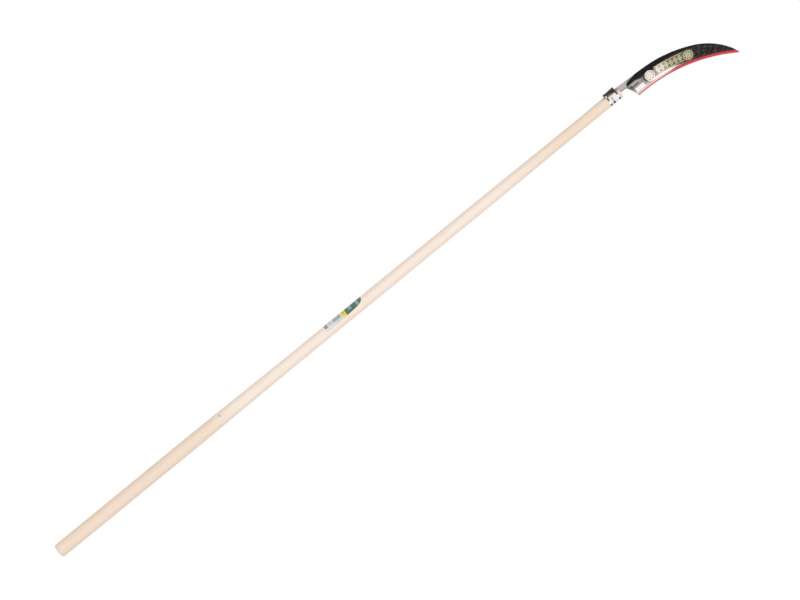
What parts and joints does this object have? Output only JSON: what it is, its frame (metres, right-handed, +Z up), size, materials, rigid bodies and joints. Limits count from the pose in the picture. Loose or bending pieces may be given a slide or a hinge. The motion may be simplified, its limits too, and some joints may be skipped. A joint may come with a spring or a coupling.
{
  "type": "long-handled sickle",
  "caption": "Slim wooden pole with a curved, single-bevel steel blade held by a wedge and rings, for cutting grass and brush, with a push-on edge guard.",
  "frame": {"origin": "centre of the pole's butt face, on the pole's axis", "axes": "+X along the pole towards the blade, +Y to the side of the wedge and the blade's spine, +Z up from the ground that the tool lies on, with the blade turned 7.2 degrees about X so that the guard's tip meets the ground"},
  "size_m": [1.7467, 0.1109, 0.03],
  "materials": {
    "wood": "plain sanded pale hardwood",
    "blade_steel": "black forge scale, ground bright near the heel and the edge",
    "ring_steel": "bright drawn steel",
    "wedge_iron": "dark forged iron",
    "guard_plastic": "soft red plastic",
    "pole_sticker": "printed film in green, yellow and pale grey",
    "white_sticker": "plain white film"
  },
  "bodies": {
    "sickle": {"pole": "wood", "blade": "blade_steel", "rear_ring": "ring_steel", "head_ring": "ring_steel", "wedge": "wedge_iron", "pole_label": "pole_sticker", "ring_label": "white_sticker", "heel_label": "white_sticker"},
    "guard": {"edge_guard": "guard_plastic"}
  },
  "joints": [
    {"name": "guard_pull", "type": "slide", "parent": "sickle", "child": "guard", "axis": [-0.2735, -0.9542, -0.1212], "range_m": [0, 0.06]}
  ]
}
